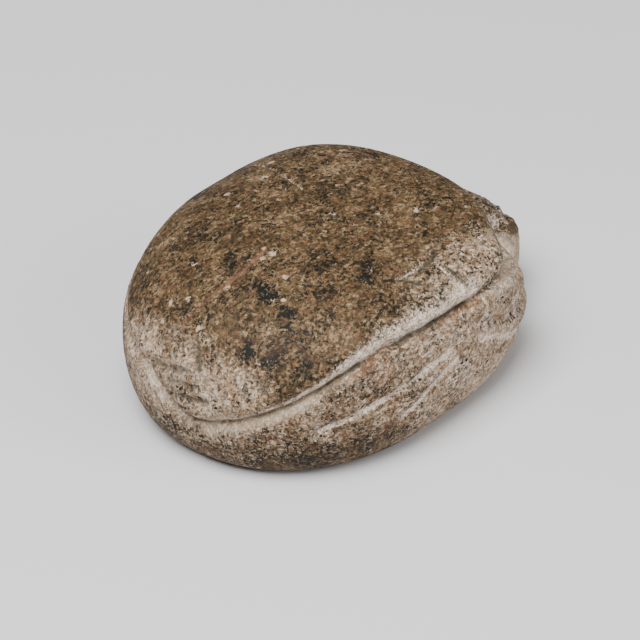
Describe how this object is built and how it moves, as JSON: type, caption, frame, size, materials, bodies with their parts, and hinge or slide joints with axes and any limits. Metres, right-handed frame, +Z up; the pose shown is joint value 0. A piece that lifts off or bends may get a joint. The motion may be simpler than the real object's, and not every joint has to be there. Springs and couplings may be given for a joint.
{
  "type": "scarab amulet",
  "caption": "Oval amulet carved from speckled stone as a beetle at rest, with a smooth domed back, a toothed head, grooved flanks and a flat underside.",
  "frame": {"origin": "middle of the bounding box, on the flat underside", "axes": "+X runs along the body from the tail to the head, +Y to the beetle's left side, +Z up from the underside"},
  "size_m": [0.0482, 0.0344, 0.0185],
  "materials": {
    "speckled_stone": "speckled brown and tan stone, half polished on the back, matt and paler in the carved grooves"
  },
  "bodies": {
    "root": {"scarab": "speckled_stone"}
  },
  "joints": []
}
